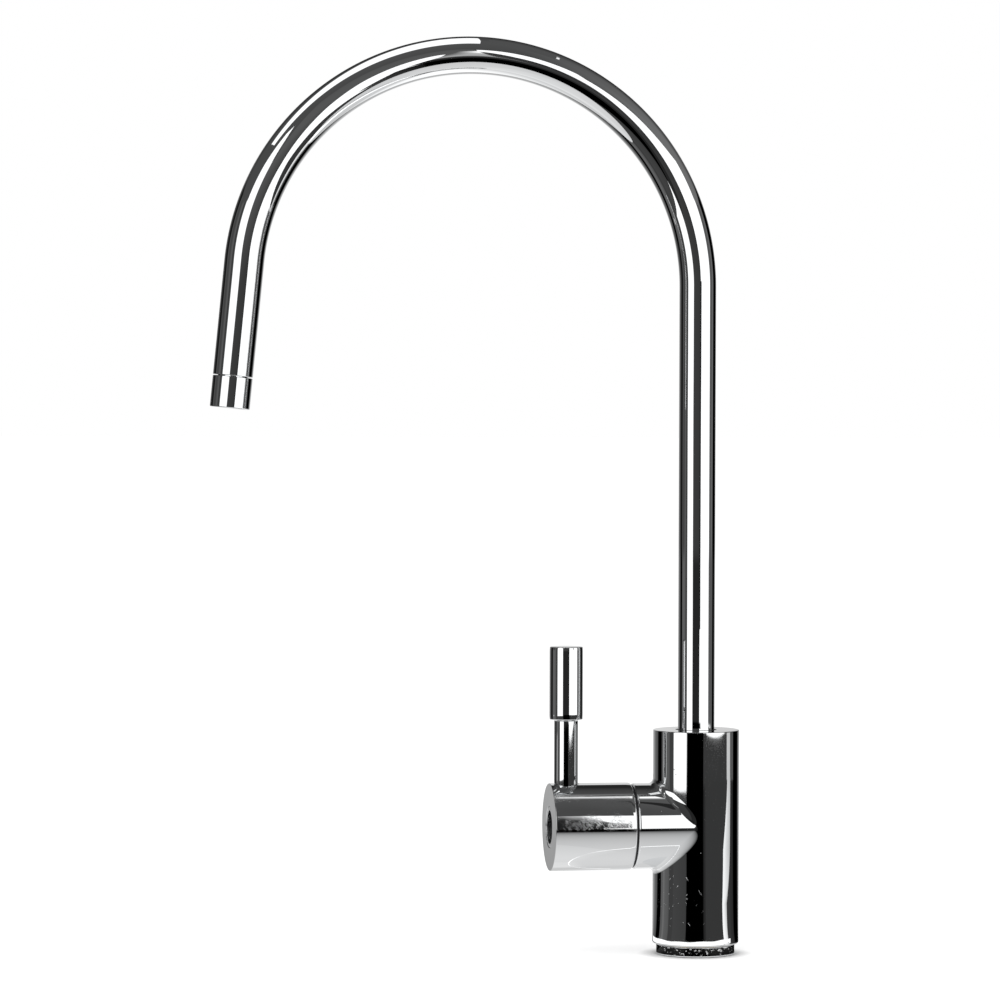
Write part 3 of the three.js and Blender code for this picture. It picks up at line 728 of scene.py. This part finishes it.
def spigot_groove(middle, floor, width):
    """The corners of a groove round the spigot."""
    return [
        (spigot.radius, middle - width / 2), (floor, middle - width / 2),
        (floor, middle + width / 2), (spigot.radius, middle + width / 2),
    ]


class Bend:
    """The spout's line as an Axis that turns: straight riser, arch, straight outlet."""

    def __init__(self):
        self.arch_angle = math.pi - spout.lean
        self.riser = spout.riser_top
        self.arch_end = self.riser + spout.arch * self.arch_angle

    def at(self, along):
        """Middle, outward direction in the plane of the arch, and forward direction."""
        turn = np.clip((along - self.riser) / spout.arch, 0, self.arch_angle)
        out = np.stack([np.cos(turn), 0 * turn, np.sin(turn)], -1)
        way = np.stack([-np.sin(turn), 0 * turn, np.cos(turn)], -1)
        middle = np.array([-spout.arch, 0, self.riser]) + spout.arch * out
        middle += np.minimum(along - self.riser, 0)[:, None] * way
        middle += np.maximum(along - self.arch_end, 0)[:, None] * way
        return middle, out, way

    def widening(self, along):
        """How many times as wide as the riser the tube is at a point."""
        turn = (along - self.riser) / spout.arch
        share = (turn - spout.widens_from) / (self.arch_angle - spout.widens_from)
        return 1 + np.clip(share, 0, 1) * (spout.outlet_radius / spout.radius - 1)

    def turned(self, shell, rows, angles, widens=False):
        middle, out, way = self.at(rows[:, 1])
        side = np.array([0, 1.0, 0])
        around = np.cos(angles)[None, :, None] * out[:, None] + np.sin(angles)[None, :, None] * side
        radius = rows[:, 0] * (self.widening(rows[:, 1]) if widens else 1)
        points = middle[:, None] + radius[:, None, None] * around
        shell.grid(points, rows[:, 2, None, None] * around + rows[:, 3, None, None] * way[:, None])


def make_spout():
    bend = Bend()
    end = bend.arch_end + spout.straight
    stations = np.linspace(bend.riser, bend.arch_end, 181)
    outside = [(spout.radius, s) for s in stations]
    inside = [(spout.bore, s) for s in stations[::-1]]
    tube = [
        (spout.bore, spout.foot), (spout.radius, spout.foot), *outside,
        (spout.radius, end, 0.22), (spout.bore, end), *inside,
    ]
    shell = Shell()
    bend.turned(shell, rounded(tube, closed=True), full_circle(MEDIUM), widens=True)
    shell.finish("spout_tube_bent", "spout", chrome_plain, ("spout_tube",))

    start, rim = bend.arch_end + nozzle.start, bend.arch_end + nozzle.rim
    chamber = rim - nozzle.chamber_depth
    sleeve = [
        (nozzle.neck_bore, start - nozzle.neck),
        (spout.bore - 0.15, start - nozzle.neck),
        (spout.bore - 0.15, start, 0.05),
        (spout.outlet_radius, start, 0.22),
        (spout.outlet_radius, rim, 0.3),
        (nozzle.chamber, rim, 0.2),
        (nozzle.chamber, chamber),
        (nozzle.neck_bore, chamber),
    ]
    shell = Shell()
    bend.turned(shell, rounded(sleeve, closed=True), full_circle(MEDIUM))
    shell.finish("nozzle_sleeve", "spout", chrome_plain, ("spout_nozzle",))

    lathe(
        "spout_spigot_turned", "spout", brass, "brass", "spout_spigot", UPRIGHT,
        [
            (spigot.bore, spigot.bottom), (spigot.radius, spigot.bottom, 0.4),
            *spigot_groove(spigot.ring_low, spigot.ring_floor, 2),
            *spigot_groove(spigot.ring_high, spigot.ring_floor, 2),
            *spigot_groove(grub.height, spigot.grub_floor, 3.4),
            (spigot.radius, spigot.shoulder), (spigot.neck, spigot.shoulder),
            (spigot.neck, spigot.top), (spigot.bore, spigot.top),
        ],
    )


# ---------------------------------------------------------------- barrel and lever

def make_barrel():
    shell = Shell()
    hole_side = math.radians(27)  # half the angle of the patch of wall that holds the hole
    columns = with_values(full_circle(FINE), 0, -hole_side, hole_side)
    low, high = lever.place - 5.1, lever.place + 4.9
    rows = np.linspace(low, high, 17)
    hole_radius = lever.radius + 0.15
    hole = Branch(VALVE, barrel.radius, 0, lever.place, hole_radius, 0.5, True, False)
    outline = rounded([
        (barrel.radius, high),
        (barrel.radius, barrel.end, barrel.edge),
        (recess.seat, barrel.end, 0.15),
        (recess.seat, recess.seat_floor),
        (recess.radius, recess.seat_floor),
        (recess.radius, recess.floor),
        (barrel.hub_bore, recess.floor),
        (barrel.hub_bore, barrel.skirt_end),
        (barrel.skirt_bore, barrel.skirt_end),
        (barrel.skirt_bore, barrel.start, 0.2),
        (barrel.radius - POLISHED, barrel.start, 0.6),
        (barrel.radius, barrel.start + 1.3, 40),
        (barrel.radius, low),
    ])
    shell.turned(VALVE, outline, columns)
    alpha, rim, rim_normals = wall(
        shell, VALVE, barrel.radius, columns, rows, [(hole, hole_side, lever.place - low)]
    )[0]
    seat, well_top, well_floor = lever.seat - 0.15, 12.9, 7.6
    foot = lever.foot + 0.15
    well = rounded([
        (hole_radius, well_top), (hole_radius, seat), (foot, seat), (foot, well_floor), (0, well_floor)
    ])
    shell.turned(LEVER, well, alpha)
    first = LEVER.place(hole_radius, alpha, well_top)
    shell.grid(np.stack([rim, first]), np.stack([rim_normals, rim_normals]))
    return shell.finish("barrel_chromed", "lever", chrome_barrel, ("handle_barrel",))


def make_lever():
    lathe(
        "lever_rod", "lever", chrome_plain, "chrome", "lever_stem", LEVER,
        [
            (0, lever.foot_bottom), (lever.foot, lever.foot_bottom), (lever.foot, lever.seat),
            (lever.radius, lever.seat), (lever.radius, grip.bottom - 0.3, 0.15),
            (lever.foot, grip.bottom - 0.3), (lever.foot, grip.tenon_top), (0, grip.tenon_top),
        ],
    )
    lathe(
        "lever_grip_sleeve", "lever", chrome_plain, "chrome", "lever_grip", LEVER,
        [
            (0, grip.tenon_top + 0.3), (lever.foot + 0.15, grip.tenon_top + 0.3),
            (lever.foot + 0.15, grip.bottom), (grip.radius - POLISHED, grip.bottom, 0.35),
            (grip.radius, grip.bottom + 1.3, 40), (grip.radius, grip.top - 1.3, 40),
            (grip.radius - POLISHED, grip.top, 0.35), (0, grip.top),
        ],
    )
    lathe(
        "barrel_end_ring", "lever", chrome_plain, "chrome", "handle_end_ring", VALVE,
        [
            (end_ring.inner, end_ring.start), (end_ring.outer, end_ring.start),
            (end_ring.outer, end_ring.end, 0.2), (end_ring.inner, end_ring.end, 0.15),
        ],
    )
    lathe(
        "barrel_washer", "lever", dull_steel, "steel", "handle_washer", VALVE,
        ring(handle_washer.inner, handle_washer.outer, handle_washer.start, handle_washer.end),
        SMALL,
    )
    lathe(
        "barrel_glide_ring_moulded", "tap_body", acetal, "acetal", "barrel_glide_ring", VALVE,
        [
            (glide_ring.inner, glide_ring.start), (glide_ring.outer, glide_ring.start),
            (glide_ring.outer, glide_ring.face), (glide_ring.sleeve, glide_ring.face),
            (glide_ring.sleeve, glide_ring.end), (glide_ring.inner, glide_ring.end),
        ],
    )


def make_small_parts():
    """Rings that a faceted solid shows coarsely, and finishes for the nodes that are kept."""
    for name, body_name, axis, centre, thickness, height in (
        ("spout_o_ring_lower", "spout", UPRIGHT, 5.45, 0.8, spigot.ring_low),
        ("spout_o_ring_upper", "spout", UPRIGHT, 5.45, 0.8, spigot.ring_high),
        ("spindle_o_ring_inner", "lever", VALVE, 2.5, 0.5, 19.7),
        ("spindle_o_ring_outer", "lever", VALVE, 2.5, 0.5, 22.7),
    ):
        angles = np.linspace(0, TURN, 25)
        rows = np.stack([
            centre + thickness * np.cos(angles), height + thickness * np.sin(angles),
            np.cos(angles), np.sin(angles),
        ], -1)
        shell = Shell()
        shell.turned(axis, rows, full_circle(SMALL))
        shell.finish(name + "_moulded", body_name, rubber, (name,))
    for material, names in (
        (rubber, ("aerator_washer", "cartridge_seal")),
        (white_plastic, ("aerator_insert", "spindle_friction_washer")),
        (ceramic, ("fixed_disc", "moving_disc")),
        (brass, ("valve_spindle", "cartridge_housing", "cartridge_nut")),
        (steel, ("spindle_circlip", "spout_grub_screw")),
        (dull_steel, ("handle_screw",)),
    ):
        for name in names:
            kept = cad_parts[name]
            kept.data.materials.clear()
            kept.data.materials.append(material)


make_body()
make_base()
make_fixing()
make_spout()
make_barrel()
make_lever()
make_small_parts()


# ---------------------------------------------------------------- camera

VIEW = Sizes(azimuth=-8.725, elevation=1.153, roll=0.17, distance=1389.24, lens=153.9)
AIM = Vector((-65.22, 0, 148.68))


def make_camera():
    azimuth, elevation = math.radians(VIEW.azimuth), math.radians(VIEW.elevation)
    back = Vector((
        math.sin(azimuth) * math.cos(elevation),
        -math.cos(azimuth) * math.cos(elevation),
        math.sin(elevation),
    ))
    right = Vector((0, 0, 1)).cross(back).normalized()
    turned = Matrix((right, back.cross(right), back)).transposed().to_4x4()
    data = bpy.data.cameras.new("camera")
    data.lens = VIEW.lens
    data.sensor_width = 36
    data.clip_start, data.clip_end = 0.05, 100
    camera = bpy.data.objects.new("camera", data)
    bpy.context.scene.collection.objects.link(camera)
    place = Matrix.Translation((AIM + back * VIEW.distance) * MM)
    camera.matrix_world = place @ turned @ Matrix.Rotation(math.radians(VIEW.roll), 4, "Z")
    bpy.context.scene.camera = camera


# ---------------------------------------------------------------- stage and light

def glow_material(name):
    """A surface that gives off the level stored at its corners."""
    material, tree = bare_material(name)
    level = node(tree, "ShaderNodeAttribute", {"attribute_name": "level"}).outputs["Fac"]
    glow = node(tree, "ShaderNodeEmission", Strength=level)
    out = tree.nodes.new("ShaderNodeOutputMaterial")
    tree.links.new(glow.outputs[0], out.inputs["Surface"])
    return material


CARD_GLOW = glow_material("card_glow")


def card(name, points, levels):
    """A grid of points that only reflections see, with one level or a level at each point."""
    points = np.array(points, float)
    levels = np.broadcast_to(np.array(levels, float), points.shape[:2])
    index = np.arange(levels.size).reshape(levels.shape)
    quads = np.stack([index[:-1, :-1], index[1:, :-1], index[1:, 1:], index[:-1, 1:]], -1)
    mesh = bpy.data.meshes.new(name)
    mesh.from_pydata((points.reshape(-1, 3) * MM).tolist(), [], quads.reshape(-1, 4).tolist())
    attribute = mesh.attributes.new("level", "FLOAT", "POINT")
    attribute.data.foreach_set("value", levels.ravel().astype(np.float32))
    mesh.materials.append(CARD_GLOW)
    made = bpy.data.objects.new(name, mesh)
    bpy.context.scene.collection.objects.link(made)
    for ray in ("camera", "diffuse", "shadow", "transmission", "volume_scatter"):
        setattr(made, "visible_" + ray, False)


def around(azimuth, distance, height, centre=(0, 0)):
    """A point at an azimuth counted from the camera towards its right."""
    a = np.radians(np.asarray(azimuth, float) + VIEW.azimuth)
    x, y = centre[0] + np.sin(a) * distance, centre[1] - np.cos(a) * distance
    return np.stack([x, y, np.broadcast_to(height, x.shape)], -1)


def band(start, end, distance, low, high, step=3.0):
    """Azimuths and heights of an upright card."""
    azimuths = np.linspace(start, end, max(2, int(abs(end - start) / step)))
    return np.array([around(azimuths, distance, low), around(azimuths, distance, high)])


WHITE = 1.3

# The studio round the tap. Each row is an azimuth from the camera towards its
# right, and the levels there of the floor, the wall's foot, the wall's lower part and its top.
SURROUND = (
    (-180, 0.48, 0.72, 0.72, 0.72),
    (-166, 0.48, 0.60, 0.60, 0.60),
    (-155, 0.36, 0.36, 0.36, 0.30),
    (-140, 0.14, 0.14, 0.14, 0.10),
    (-127, 0.09, 0.09, 0.09, 0.05),
    (-123, 0.00, 0.00, 0.00, 0.01),
    (-107, 0.00, 0.00, 0.00, 0.01),
    (-105, 0.11, 0.11, 0.11, 0.10),
    (-98, 0.11, 0.11, 0.11, 0.06),
    (-97, 0.16, 0.60, 0.13, 0.06),
    (-92, 0.16, 0.60, 0.13, 0.06),
    (-91, 0.12, 0.13, 0.13, 0.06),
    (-78, 0.10, 0.10, 0.10, 0.12),
    (-75, 0.05, 0.05, 0.05, 0.05),
    (-65, 0.05, 0.05, 0.05, 0.05),
    (-62, 0.06, WHITE, WHITE, WHITE),
    (-28.5, 0.05, WHITE, WHITE, WHITE),
    (-26, 0.00, 0.00, 0.02, 0.05),
    (16.3, 0.00, 0.00, 0.02, 0.04),
    (16.8, 0.01, 0.01, WHITE, WHITE),
    (19, 0.02, 0.02, WHITE, WHITE),
    (24, 0.04, 0.10, WHITE, WHITE),
    (25, 0.04, WHITE, WHITE, WHITE),
    (77, 0.04, WHITE, WHITE, WHITE),
    (79, 0.04, 1.20, 0.20, WHITE),
    (81, 0.04, 1.10, 0.10, 0.10),
    (85, 0.04, 0.90, 0.10, 0.10),
    (87, 0.04, 0.62, 0.10, 0.10),
    (99, 0.04, 0.62, 0.10, 0.10),
    (101, 0.03, 0.10, 0.10, 0.16),
    (108, 0.03, 0.10, 0.10, 0.16),
    (112, 0.02, 0.12, 0.12, 0.03),
    (115, 0.00, 0.00, 0.00, 0.00),
    (140, 0.00, 0.00, 0.00, 0.00),
    (150, 0.20, 0.20, 0.20, 0.05),
    (165, 0.48, 0.55, 0.55, 0.40),
    (180, 0.48, 0.72, 0.72, 0.72),
)


def make_stage():
    far, box_top, top = 700, 480, 620
    table = np.array(SURROUND)
    azimuth = np.unique(np.concatenate([table[:, 0], np.arange(-180, 181, 5.0)]))
    floor, foot, lower, upper = (np.interp(azimuth, table[:, 0], table[:, i]) for i in range(1, 5))
    roof = np.interp(
        azimuth, (-180, -150, -110, 20, 60, 110, 140, 160), (0.02, 0.02, 0.07, 0.07, 0.17, 0.17, 0.07, 0.02)
    )
    heights = [0, 22, 24, 105, 115, box_top, box_top + 12, top]
    levels = [foot, foot, lower, lower, upper, upper, roof, roof]
    card("tent_wall", [around(azimuth, far, h) for h in heights], levels)
    # The floor card is darkest close to the tap, where the base ring sees it: a painted shadow of the tap.
    reach = (0.1, 34, 38, far)
    # The 0.2 dims the card within 34 mm of the tap as painted shadow.
    painted_shadow_share = np.array([0.2, 0.2, 1, 1])[:, None]
    card("tent_floor", [around(azimuth, d, 0.5) for d in reach], painted_shadow_share * floor)
    # A low bright strip stands round the tap, where low rays from the body's foot meet it.
    turns = np.linspace(-137, 91, 77)
    inner = np.interp(turns, (-137, -60, 0), (37.5, 39, 42))
    strip_top = 2.15 + 0.09 * np.sin(np.radians(turns * 7))
    card("foot_strip", [around(turns, inner, 0.5), around(turns, inner, strip_top)], WHITE)
    # The right box's left edge is soft where it is high, and fades towards the left.
    edge = [13, 14.8, 15.9, 16.5, 16.85, 16.9]
    card(
        "box_edge", [around(edge, far - 10, h) for h in (60, 226, 296, box_top)],
        [
            [0.01, 0.01, 0.02, 0.02, 0.05, WHITE],
            [0.01, 0.02, 0.03, 0.06, 0.10, WHITE],
            [0.01, 0.02, 0.10, 0.18, 0.30, WHITE],
            [0.03, 0.08, 0.50, 0.65, 0.85, WHITE],
        ],
    )
    card("box_head", band(25, 77, far - 10, box_top, top - 4), WHITE)
    # The left box leans inwards at its top and grows narrower, which only the arch sees.
    head = ((-61, -28.5, 690, 478), (-58, -33, 640, 560), (-50, -42, 560, 614))
    card("left_head", [around(np.linspace(a, b, 9), d, h) for a, b, d, h in head], WHITE)
    # Only the riser sees the dark card in the gap between the boxes. Only the arch sees the
    # card above it and the two white panels close in front.
    card("riser_gap", band(13, 20.2, 60, 104, 222, 2), 0.02)
    gap = [-25, 14.5, 16, 17.5]
    card(
        "arch_gap",
        [around(gap, 300, h, (-spout.arch, 0)) for h in (235, 262, 334, 340, 402, 408, 480)],
        [
            [0.05, 0.05, 0.10, 0.10], [0.07, 0.07, 0.45, 0.45], [0.10, 0.10, 0.45, 0.50],
            [0.10, 0.10, 0.60, WHITE], [0.10, 0.10, 0.60, WHITE], [0.10, 0.10, 0.09, 0.09],
            [0.09, 0.09, 0.09, 0.09],
        ],
    )
    panel_y = -70
    left_panel = (
        (302, -79, -76), (288, -104, -76), (275, -111, -78),
        (262, -114, -80), (243, -116, -76), (230, -116, -66),
    )
    card("left_panel", [[(a, panel_y, z), (b, panel_y, z)] for z, a, b in left_panel], WHITE)
    right_panel = ((-64, 315), (-51, 300), (-38, 297), (-24, 291), (-10, 282))
    card(
        "right_panel",
        [[(x, panel_y, 328) for x, _ in right_panel], [(x, panel_y, z) for x, z in right_panel]],
        WHITE,
    )
    # A small lamp above the body gives the barrel its light line.
    x, y = np.meshgrid([30, 80, 84, 125], [-105, -75, -45, -25, 15, 50, 100])
    lamp = np.array([0.06, 0.15, 0.6, 0.95, 0.5, 0.2, 0.1])[:, None] * np.array([1, 1, 1.5, 1.5])
    card("small_lamp", np.stack([x, y, np.full_like(x, top - 6)], -1), lamp)
    shade = [[(-48, y, 400), (8, y, 400)] for y in (-45, 45)]  # it hides the lamp from the arch
    card("lamp_shade", shade, 0.085)
    middle = np.full_like(roof, 0.085)
    card(
        "tent_roof", [around(azimuth, d, top) for d in (0.1, 300, 480, far)],
        [middle, (roof + middle) / 2, roof, roof],
    )
    # A pale strip lies along the floor to the right and ends at the foot of the wall.
    card(
        "floor_strip",
        [
            [around(a, d, 1.0) for a, d in zip(edge, (25, 160, 338, far - 1))]
            for edge in ((70, 71, 75, 89), (76, 77, 86, 95), (85, 86, 100, 101))
        ],
        [[1.1, 1.15, 1.1, 0.7], [1.0, 1.0, 0.8, 0.6], [0.5, 0.5, 0.5, 0.55]],
    )
    # The right box ends above the floor. Its lower edge curves, and the wall below is dark.
    turns = np.linspace(17, 87, 29)
    edge = np.minimum(17.4 + 0.0037 * (turns - 46) ** 2, 22)
    card("wall_foot", [around(turns, far - 12, 0.6), around(turns, far - 12, edge)], 0.042)
    # The overhead box hangs just behind the top of the arch.
    x, y = np.meshgrid(np.linspace(-228, -66, 9), [-19.0, -16.0, 20.0, 27.0])
    y[:2] += np.linspace(-6, 0, 9)  # its front edge comes forward to the left
    overhead = np.stack([x, y, np.full_like(x, 337)], -1)
    card("overhead_box", overhead, np.array([0.1, WHITE, WHITE, 0.3])[:, None])


def make_floor():
    material, tree = bare_material("white_floor")
    from_tap = node(tree, "ShaderNodeVectorMath", {"operation": "LENGTH"}, Vector=object_place(tree))
    # The lift is 0 within 13 mm of the tap's axis and full beyond 19 mm: a painted contact shadow round the
    # base.
    lift_beyond_painted_shadow = between(tree, from_tap.outputs["Value"], 13 * MM, 19 * MM, 0.0, 0.45)
    strength = maths(tree, "MULTIPLY", seen_directly(tree), lift_beyond_painted_shadow)
    lift = node(tree, "ShaderNodeEmission", Strength=strength)
    matt = node(tree, "ShaderNodeBsdfDiffuse", Color=(0.86, 0.86, 0.86, 1))
    both = tree.nodes.new("ShaderNodeAddShader")
    tree.links.new(matt.outputs[0], both.inputs[0])
    tree.links.new(lift.outputs[0], both.inputs[1])
    out = tree.nodes.new("ShaderNodeOutputMaterial")
    tree.links.new(both.outputs[0], out.inputs["Surface"])
    reach = 30  # metres
    corners = [(-reach, -reach, 0), (reach, -reach, 0), (reach, reach, 0), (-reach, reach, 0)]
    mesh = bpy.data.meshes.new("floor")
    mesh.from_pydata(corners, [], [(0, 1, 2, 3)])
    mesh.materials.append(material)
    floor = bpy.data.objects.new("floor", mesh)
    bpy.context.scene.collection.objects.link(floor)


def seen_directly(tree):
    """1 for what the camera sees, also in metal and through glass, and 0 for other light."""
    path = tree.nodes.new("ShaderNodeLightPath").outputs
    seen = maths(tree, "ADD", path["Is Camera Ray"], path["Is Glossy Ray"])
    return maths(tree, "MINIMUM", maths(tree, "ADD", seen, path["Is Transmission Ray"]), 1.0)


def make_lamp(name, size, energy, location, direction, unseen):
    """A round softbox in metres and watts, hidden from the named kinds of ray."""
    lamp = bpy.data.lights.new(name, "AREA")
    lamp.shape = "DISK"
    lamp.size = size
    lamp.energy = energy
    light = bpy.data.objects.new(name, lamp)
    light.location = location
    light.rotation_euler = Vector(direction).to_track_quat("-Z", "Y").to_euler()
    for ray in unseen:
        setattr(light, "visible_" + ray, False)
    bpy.context.scene.collection.objects.link(light)
    return lamp


def make_light():
    world = bpy.data.worlds.new("world")
    bpy.context.scene.world = world
    world.use_nodes = True
    tree = world.node_tree
    strength = between(tree, seen_directly(tree), 0.0, 1.0, 0.7, 1.0)
    background = tree.nodes["Background"]
    background.inputs["Color"].default_value = (1, 1, 1, 1)
    put(tree, background.inputs["Strength"], strength)
    make_lamp("overhead_softbox", 0.7, 3.0, (-0.3, -0.4, 1.1), (0.3, 0.4, -1.0), ("glossy", "camera"))
    # The softbox on the floor has a grid, so that undersides see it and walls hardly do.
    lying = make_lamp(
        "floor_softbox", 0.55, 0.45, (0, 0, 1.2 * MM), (0, 0, 1),
        ("camera", "diffuse", "transmission"),
    )
    lying.spread = math.radians(164)


make_camera()
make_stage()
make_floor()
make_light()
bpy.context.scene.view_settings.view_transform = "Standard"
